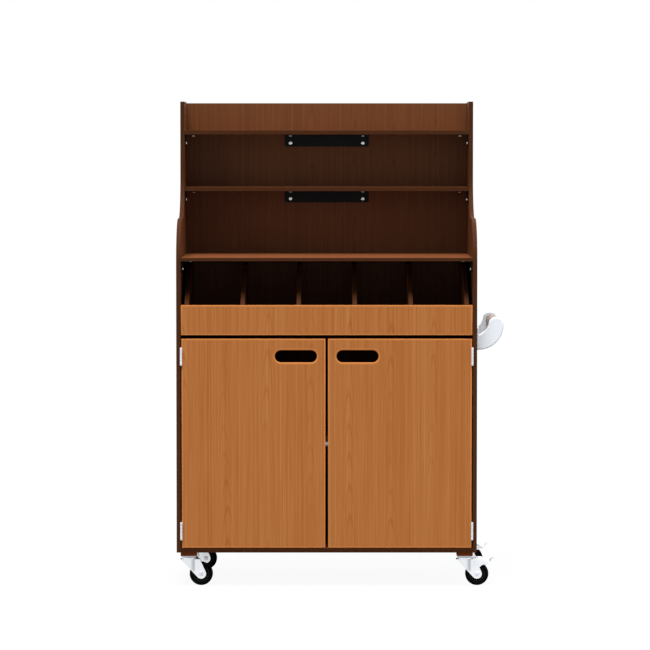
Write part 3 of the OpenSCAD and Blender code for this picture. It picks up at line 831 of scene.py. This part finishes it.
def side_outline(low, high):
    """Side panel in depth and height: straight front, shoulder, ledge, cove and upright hutch edge."""
    shoulder_z = LEDGE_Z - SHOULDER_R
    hutch_y = low.y + HUTCH_SETBACK
    points = [(low.y, low.z), (high.y, low.z), (high.y, high.z), (hutch_y, high.z)]
    points += arc((hutch_y - COVE_R, LEDGE_Z + COVE_R), COVE_R, 0, -90, 28)
    points += arc((low.y + SHOULDER_R, shoulder_z), SHOULDER_R, 90, 180, 28)
    return points


def side_panels():
    for node in ("side_panel_left", "side_panel_right"):
        board(node, "x", [(side_outline(*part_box(node)), PANEL_ROUND)], CARCASS)


def carcass_boards():
    plain_board("back_panel", "y", CARCASS)
    plain_board("base_panel", "z", ("carcass_flat_painted_light", "base_edge_painted_shade"))
    for node in ("counter", "hutch_shelf_lower", "hutch_shelf_upper", "cupboard_shelf"):
        plain_board(node, "z", PAINTED_LIGHT_FLAT)


def castor_blocks():
    """Square blocks over the castors. The rear ones' back edges give their size."""
    low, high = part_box("castor_blocks")
    to_place, thickness = plane_of("z", low, high)
    reach = high.y - swivel("rear_left")[1]
    blocks = bmesh.new()
    for corner in CORNERS:
        x, y = swivel(corner)
        outline = rectangle((x - reach, y - reach), (x + reach, y + reach))
        add_slab(blocks, [(outline, CARCASS_ROUND)], thickness, to_place)
    bmesh.ops.recalc_face_normals(blocks, faces=blocks.faces)
    dress(piece_from("castor_blocks_board", blocks, ["block_painted_light"]), "castor_blocks")


def slot_loop(middle_x):
    """A slot's outline, clockwise, so that it cuts a hole."""
    radius = SLOT_SIZE[1] / 2
    half = (SLOT_SIZE[0] - SLOT_SIZE[1]) / 2
    points = arc((middle_x + half, SLOT_Z), radius, 90, -90, 20)
    points += arc((middle_x - half, SLOT_Z), radius, -90, -270, 20)
    return points


def doors():
    for node, side in (("door_left", -1), ("door_right", 1)):
        low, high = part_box(node)
        outline = rectangle(flat_of("y", low), flat_of("y", high))
        loops = [(outline, FRONT_ROUND), (slot_loop(MIDDLE_X + side * SLOT_X), SLOT_ROUND)]
        board(node, "y", loops, FRONT, 5, EDGE_STRIP)


def tray_boards():
    plain_board("tray_front", "y", FRONT, FRONT_ROUND, EDGE_STRIP)
    plain_board("tray_floor", "z", PAINTED_LIGHT_FLAT)
    plain_board("tray_back", "y", CARCASS)
    front_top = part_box("tray_front")[1].z
    for node in UPRIGHTS:
        low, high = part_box(node)
        slope = (high.z - front_top) / math.tan(DIVIDER_SLOPE)
        outline = [(low.y, low.z), (high.y, low.z), (high.y, high.z)]
        outline += [(low.y + slope, high.z), (low.y, front_top)]
        board(node, "x", [(outline, CARCASS_ROUND)], CARCASS)


# ---- Angle brackets ----


def bracket_places():
    """(matrix, length, hole offsets) of each bracket, whose corner line lies on the matrix's x axis."""
    back_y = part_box("back_panel")[0].y
    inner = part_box("side_panel_right")[0].x - MIDDLE_X
    undersides = [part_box(node)[0].z for node in ("hutch_shelf_lower", "hutch_shelf_upper")]
    holes = (-LONG_PITCH / 2, LONG_PITCH / 2)
    long_places = [(Matrix.Translation((MIDDLE_X, back_y, z)), LONG_BRACKET, holes) for z in undersides]
    rows = [(FRONT_Y + SIDE_BRACKET_Y, z) for z in undersides]
    rows.append((FRONT_Y + COUNTER_BRACKET_Y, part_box("counter")[0].z))
    side_places = []
    for side in (-1, 1):
        for y, z in rows:
            place = Matrix.Translation((MIDDLE_X + side * inner, y, z))
            turn = Matrix.Rotation(math.radians(-90 * side), 4, "Z")
            side_places.append((place @ turn, SIDE_BRACKET, (0.0,)))
    return long_places, side_places


def bracket_rows(matrix, length):
    """The face of an angle bracket that lies on the boards: one leg, the bend and the other leg."""
    half = length / 2
    columns = 8
    rounding = [BRACKET_CORNER * (1 - math.cos(math.radians(a))) for a in range(0, 91, 15)]
    path = [(0.0, -BRACKET_LEG + s) for s in rounding] + [(0.0, -BRACKET_BEND)]
    path += arc((-BRACKET_BEND, -BRACKET_BEND), BRACKET_BEND, 0, 90, 6)[1:]
    path += [(-BRACKET_LEG + s, 0.0) for s in reversed(rounding)]
    rows = []
    for y, z in path:
        from_rim = min(BRACKET_LEG + y if z > -1e-9 else 1.0, BRACKET_LEG + z if y > -1e-9 else 1.0)
        dip = max(BRACKET_CORNER - from_rim, 0.0)
        wide = half - BRACKET_CORNER + math.sqrt(max(BRACKET_CORNER**2 - dip**2, 0.0))
        rows.append([matrix @ Vector((wide * (2 * i / columns - 1), y, z)) for i in range(columns + 1)])
    return rows[::-1]


def brackets():
    long_places, side_places = bracket_places()
    for node, places in (("long_brackets", long_places), ("side_brackets", side_places)):
        sheets = [bracket_rows(matrix, length) for matrix, length, _ in places]
        dress(sheet_metal(node + "_bent", sheets, BRACKET_STEEL, "black"), node)
    points = []
    for matrix, _, holes in long_places + side_places:
        turn = matrix.to_3x3()
        for x in holes:
            points.append((matrix @ Vector((x, -BRACKET_STEEL, -BRACKET_HOLE)), turn @ Vector((0, -1, 0))))
            points.append((matrix @ Vector((x, -BRACKET_HOLE, -BRACKET_STEEL)), turn @ Vector((0, 0, -1))))
    screws("bracket_screw_heads", "bracket_screws", points, radius=7 * MM, finish="pressed_zinc")


# ---- Castors ----


def swivel(corner):
    """x and y of a castor's swivel axis."""
    low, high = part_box("castor_tyre_" + corner)
    return (low.x + high.x) / 2 - TRAIL, (low.y + high.y) / 2


def tangent(point, centre, radius, side):
    """Where a line from point touches a circle."""
    gap = Vector(centre) - Vector(point)
    angle = math.atan2(gap.y, gap.x) + side * math.asin(radius / gap.length)
    reach = math.sqrt(gap.length_squared - radius * radius)
    return Vector(point) + reach * Vector((math.cos(angle), math.sin(angle)))


def leg_span(z):
    """Left and right edge of a fork's leg at height z, in the castor's own x."""
    axle = (TRAIL, WHEEL_R)
    spans = []
    for x, side in ((CROWN[0], -1), (CROWN[1], 1)):
        touch = tangent((x, CROWN_TOP), axle, LEG_END_R, side)
        if z >= touch.y:
            share = (z - touch.y) / (CROWN_TOP - touch.y)
            spans.append(touch.x + (x - touch.x) * share)
        else:
            spans.append(TRAIL + side * math.sqrt(max(LEG_END_R**2 - (z - WHEEL_R) ** 2, 0.0)))
    return spans


def groove_depth(x, z):
    """How deep the groove that is pressed into a leg is at a point: a soft slope, then a steep one."""
    bottom_x, soft, steep = 0.0182, 13 * MM, 4 * MM
    low, fade = 0.046, 8 * MM
    across = 1 - abs(x - bottom_x) / (soft if x < bottom_x else steep)
    rise = min(max((z - low) / fade, 0.0), 1.0)
    return GROOVE_DEPTH * max(across, 0.0) * rise


def fork_rows(x0, y0):
    """The fork's outer face as one pressed sheet: up a leg, over the crown and down the other leg."""
    bend = 2.5 * MM
    columns, steps = 44, 12
    low_rows = [WHEEL_R - LEG_END_R * math.cos(math.radians(a)) for a in range(0, 91, 15)]
    high_rows = [WHEEL_R + (CROWN_TOP - bend - WHEEL_R) * i / steps for i in range(1, steps + 1)]
    half = [(LEG_OUT, z) for z in low_rows + high_rows]
    half += arc((LEG_OUT - bend, CROWN_TOP - bend), bend, 0, 90, 5)[1:]
    half.append((LEG_OUT * 0.4, CROWN_TOP))
    rows = []
    for side, stretch in ((-1, half), (1, list(reversed(half)))):
        for out, z in stretch:
            left, right = leg_span(z) if z < CROWN_TOP - bend else CROWN
            row = []
            for i in range(columns + 1):
                x = left + (right - left) * i / columns
                depth = groove_depth(x, z) if z <= CROWN_TOP - bend else 0.0
                row.append(Vector((x0 + x, y0 + side * (out - depth), z)))
            rows.append(row)
    return rows


def castor_fork(corner):
    """Pressed fork with painted shade in its grooves, and the swivel's race on its crown."""
    x0, y0 = swivel(corner)
    node = "castor_fork_" + corner
    fork = sheet_metal(node + "_pressed", [fork_rows(x0, y0)], FORK_STEEL, "pressed_zinc")
    # Paints shade into the groove: the deeper a point lies in it, the darker its zinc
    depths = [groove_depth(point.co.x - x0, point.co.z) for point in fork.data.vertices]
    painted_groove_shade = fork.data.attributes.new(GROOVE_SHADE_ATTRIBUTE, "FLOAT", "POINT")
    painted_groove_shade.data.foreach_set("value", [depth / GROOVE_DEPTH for depth in depths])
    dress(fork, node)
    race = rounded_profile(RACE_R, CROWN_TOP - 0.2 * MM, RACE_TOP, 0.4 * MM)
    go_with(lathe("swivel_race_" + corner, race, Matrix.Translation((x0, y0, 0)), "pressed_zinc"), node)


def on_axle(corner):
    """Turns a shape made about z onto the wheel's axle."""
    x0, y0 = swivel(corner)
    return Matrix.Translation((x0 + TRAIL, y0, WHEEL_R)) @ Matrix.Rotation(math.radians(90), 4, "X")


def castor_axle(corner):
    """Axle bolt with a flat rivet head at each side."""
    head_t, crown, rim, pin_r = 3.6 * MM, 1.4 * MM, 0.3 * MM, 4 * MM
    knee = (0.4 * MM, 0.5 * MM)
    end = -LEG_OUT - head_t
    half = [(0.0, end), (AXLE_HEAD_R - crown, end), (AXLE_HEAD_R - knee[0], end + knee[1])]
    half += [(AXLE_HEAD_R, end + crown), (AXLE_HEAD_R, -LEG_OUT - rim), (AXLE_HEAD_R - rim, -LEG_OUT)]
    half.append((pin_r, -LEG_OUT))
    node = "castor_axle_" + corner
    dress(lathe(node + "_riveted", both_sides(half), on_axle(corner), "dull_zinc", 40), node)


def castor_tyre(corner):
    """Tyre with a rounded tread and a moulded line round each side."""
    half = TYRE_W / 2
    lip, shoulder = 1 * MM, 5 * MM
    line_r, line_deep, line_mouth, line_bottom = 33.35 * MM, 0.3 * MM, 0.85 * MM, 0.35 * MM
    side = [(TYRE_INNER_R, -half + lip), (TYRE_INNER_R + lip, -half)]
    side += [(line_r - line_mouth, -half), (line_r - line_bottom, -half + line_deep)]
    side += [(line_r + line_bottom, -half + line_deep), (line_r + line_mouth, -half)]
    side += arc((WHEEL_R - shoulder, -half + shoulder), shoulder, -90, 0, 8)
    profile = both_sides(side) + [side[0]]
    node = "castor_tyre_" + corner
    dress(lathe(node + "_moulded", profile, on_axle(corner), "tyre", 96), node)


def castor_hub(corner):
    """Hub with a boss, a web, a rim and spokes."""
    matrix = on_axle(corner)
    bore, boss, rim, web = 4.05 * MM, 9 * MM, 24 * MM, 4 * MM
    boss_half, rim_half = 13.1 * MM, 11 * MM
    chamfer, fillet, draft = 0.6 * MM, 0.8 * MM, 0.4 * MM
    half = [(bore, -boss_half), (boss - chamfer, -boss_half), (boss, -boss_half + chamfer)]
    half += [(boss + chamfer, -web - fillet), (boss + chamfer + fillet, -web), (rim - fillet, -web)]
    half += [(rim, -web - fillet), (rim + draft, -rim_half), (TYRE_INNER_R, -rim_half)]
    bm = bmesh.new()
    add_lathe(bm, both_sides(half) + [half[0]], matrix, 64)
    spokes, spoke_half, spoke_edge, overlap = 8, 1.2 * MM, 0.4 * MM, 0.5 * MM
    depth = rim_half * 1.5
    outline = rectangle((boss - overlap, -spoke_half), (rim + overlap, spoke_half))
    for i in range(spokes):
        turn = matrix @ Matrix.Rotation(2 * math.pi * i / spokes, 4, "Z")
        add_slab(bm, [(outline, spoke_edge)], depth, lambda u, v, w: turn @ Vector((u, v, w - depth / 2)), 2)
    bmesh.ops.remove_doubles(bm, verts=bm.verts, dist=1e-7)
    bmesh.ops.recalc_face_normals(bm, faces=bm.faces)
    node = "castor_hub_" + corner
    dress(piece_from(node + "_moulded", bm, ["hub"]), node)


def castor_tops():
    """Plates with rounded corners over the swivel housings, kingpins and plate screws."""
    plates = bmesh.new()
    pins = bmesh.new()
    points = []
    lift = PLATE_TOP - PLATE_T
    cup_low = RACE_TOP + 0.2 * MM
    cup = [(KINGPIN_R, cup_low), *arc((CUP_R - PLATE_EDGE, cup_low + PLATE_EDGE), PLATE_EDGE, -90, 0, 4)]
    cup += [(CUP_R, lift), (KINGPIN_R, lift), (KINGPIN_R, cup_low)]
    head_z = CROWN_TOP - FORK_STEEL - 1 * MM
    head_mm = ((0, -3), (5, -2.8), (8, -1.8), (9, 0))
    pin = [(radius * MM, head_z + height * MM) for radius, height in head_mm]
    pin += [(KINGPIN_R, head_z), (KINGPIN_R, PLATE_TOP), (0.0, PLATE_TOP)]
    for corner in CORNERS:
        x0, y0 = swivel(corner)
        outline = rounded_rectangle((x0, y0), (PLATE_SIDE / 2, PLATE_SIDE / 2), PLATE_CORNER)
        add_slab(plates, [(outline, PLATE_EDGE)], PLATE_T, lambda u, v, w: Vector((u, v, lift + w)), 2)
        at_swivel = Matrix.Translation((x0, y0, 0))
        add_lathe(plates, cup, at_swivel, 48)
        add_lathe(pins, pin, at_swivel, 32)
        for sx in (-1, 1):
            for sy in (-1, 1):
                place = Vector((x0 + sx * PLATE_HOLE, y0 + sy * PLATE_HOLE, lift))
                points.append((place, Vector((0, 0, -1))))
    for bm in (plates, pins):
        bmesh.ops.remove_doubles(bm, verts=bm.verts, dist=1e-7)
        bmesh.ops.recalc_face_normals(bm, faces=bm.faces)
    dress(piece_from("castor_plates_pressed", plates, ["plate_zinc"]), "castor_plates")
    dress(piece_from("castor_kingpins_riveted", pins, ["dull_zinc"]), "castor_kingpins")
    screws("castor_screw_heads", "castor_screws", points, 3.4 * MM, 2 * MM, 14 * MM)


def castors():
    for corner in CORNERS:
        castor_fork(corner)
        castor_axle(corner)
        castor_tyre(corner)
        castor_hub(corner)
    castor_tops()
    for node in ("brake_pedal_front", "brake_pedal_rear"):
        dress(softened(node, "pressed_zinc", 0.35 * MM), node)


# ---- Handle ----


def arm_outline():
    """An arm from the side: a quarter ring whose inner curve leans out, and a round head for the bar."""
    ring = BAR_REACH - FLANGE_T
    band = ARM_BAND / 2
    inside = ring - band + ARM_LEAN
    tilt = math.degrees(math.atan2(ARM_LEAN, inside))
    points = arc((0, 0), ring + band, -90, 0, 30) + arc((ring, 0), band, 0, 180, 30)[1:]
    points += arc((-ARM_LEAN, ARM_LEAN), math.hypot(inside, ARM_LEAN), -tilt, tilt - 90, 16)[1:]
    return points


def handle_arms():
    """Curved arms, each with a flange on the cabinet's side."""
    side_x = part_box("side_panel_right")[1].x
    arm_x = side_x + FLANGE_T
    outline = arm_outline()
    half = Vector(FLANGE_SIZE) / 2
    depth = FLANGE_T + 0.5 * MM
    for node in ARMS:
        low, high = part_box(node)
        middle = (low.y + high.y) / 2
        start = middle - ARM_T / 2
        bm = bmesh.new()
        add_slab(
            bm, [(outline, ARM_ROUND)], ARM_T, lambda u, v, w: Vector((arm_x + u, start + w, BAR_Z + v)), 6
        )
        flange = rounded_rectangle((middle, low.z + half.y), half, FLANGE_CORNER)
        add_slab(bm, [(flange, FLANGE_ROUND)], depth, lambda u, v, w: Vector((side_x + w, u, v)))
        bmesh.ops.recalc_face_normals(bm, faces=bm.faces)
        dress(piece_from(node + "_moulded", bm, ["white"]), node)


def handle_bar():
    low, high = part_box("handle_bar")
    x, z = (low.x + high.x) / 2, (low.z + high.z) / 2
    matrix = Matrix.Translation((x, 0, z)) @ Matrix.Rotation(math.radians(-90), 4, "X")
    profile = rounded_profile(BAR_R, low.y, high.y, 1 * MM)
    dress(lathe("handle_bar_turned", profile, matrix, "bar", 64), "handle_bar")


def handle_screw_heads():
    """Screws inside the cabinet that hold the arms."""
    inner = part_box("side_panel_right")[0].x
    low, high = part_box("handle_screws")
    points = []
    for node in ARMS:
        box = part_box(node)
        y = (box[0].y + box[1].y) / 2
        for z in (low.z + HEAD_R, high.z - HEAD_R):
            points.append((Vector((inner, y, z)), Vector((-1, 0, 0))))
    screws("handle_screw_heads", "handle_screws", points, shank=20 * MM)


# ---- Small hardware ----


def tray_screw_heads():
    """Screws up through the tray's floor, one under each upright."""
    head_r = 5 * MM
    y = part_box("tray_screws")[0].y + head_r
    floor_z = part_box("tray_floor")[0].z
    points = []
    for node in UPRIGHTS:
        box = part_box(node)
        points.append((Vector(((box[0].x + box[1].x) / 2, y, floor_z)), Vector((0, 0, -1))))
    screws("tray_screw_heads", "tray_screws", points, head_r, 2.6 * MM, 24 * MM)


def hardware():
    """Hinges, shelf pins, runners and the catch. The ball cages keep their own mesh."""
    for node in ("hinge_frame_leaves", "hinge_pins", "hinge_door_leaves_left", "hinge_door_leaves_right"):
        dress(softened(node, "zinc", 0.25 * MM), node)
    for node in ("shelf_pins", "runner_channels", "runner_slides", "strike_plate_left", "strike_plate_right"):
        dress(softened(node, "zinc", 0.2 * MM), node)
    dress(softened("magnetic_catch", "grey", 0.6 * MM), "magnetic_catch")
    cage_finishes = frame["nodes"]["runner_cages"].data.materials
    cage_finishes.clear()
    cage_finishes.append(FINISH["zinc"])


# ---- Studio ----


def stage_floor():
    reach = 60.0
    bm = bmesh.new()
    bm.faces.new([bm.verts.new((x, y, 0.0)) for x, y in rectangle((-reach, -reach), (reach, reach))])
    piece_from("studio_floor", bm, ["floor"])


def sunlight(name, azimuth, elevation, spread, strength):
    """A far soft light."""
    lamp = bpy.data.lights.new(name, "SUN")
    lamp.energy = strength
    lamp.angle = math.radians(spread)
    holder = bpy.data.objects.new(name, lamp)
    bpy.context.scene.collection.objects.link(holder)
    turn, rise = math.radians(azimuth), math.radians(elevation)
    source = Vector((math.sin(turn) * math.cos(rise), -math.cos(turn) * math.cos(rise), math.sin(rise)))
    holder.rotation_euler = (-source).to_track_quat("-Z", "Y").to_euler()


def studio():
    stage_floor()
    world = bpy.data.worlds.new("studio")
    bpy.context.scene.world = world
    world.use_nodes = True
    world.node_tree.nodes.clear()
    world.cycles.sampling_method = "NONE"
    graph = Graph(world.node_tree)
    height = graph.parts(graph.node("ShaderNodeTexCoord"))[2].clamped()
    dim = graph.node(
        "ShaderNodeBackground", sockets={"Color": SKY_COLOUR, "Strength": height * SKY_RISE + SKY_LOW}
    )
    white = graph.node("ShaderNodeBackground", sockets={"Color": (1, 1, 1, 1), "Strength": 1.0})
    shown = graph.node("ShaderNodeMixShader", sockets={0: seen_directly(graph), 1: dim, 2: white})
    graph.node("ShaderNodeOutputWorld", sockets={"Surface": shown})
    for name, lamp in LAMPS.items():
        sunlight(name, *lamp)


def camera():
    """The photograph's view: far off, a little above the counter, looking slightly down."""
    data = bpy.data.cameras.new("photograph")
    data.sensor_width = SENSOR_MM
    data.lens = FOCAL_PX / IMAGE_PX * SENSOR_MM
    data.shift_x = (IMAGE_PX / 2 - AXIS_PX) / IMAGE_PX
    data.clip_end = 200
    view = bpy.data.objects.new("photograph", data)
    bpy.context.scene.collection.objects.link(view)
    view.location = (MIDDLE_X, FRONT_Y - CAMERA_DISTANCE, CAMERA_HEIGHT)
    view.rotation_euler = (math.radians(90) - CAMERA_PITCH, 0, 0)
    bpy.context.scene.camera = view
    bpy.context.scene.view_settings.view_transform = "Standard"


camera()
side_panels()
carcass_boards()
castor_blocks()
doors()
tray_boards()
brackets()
castors()
handle_arms()
handle_bar()
handle_screw_heads()
tray_screw_heads()
hardware()
studio()
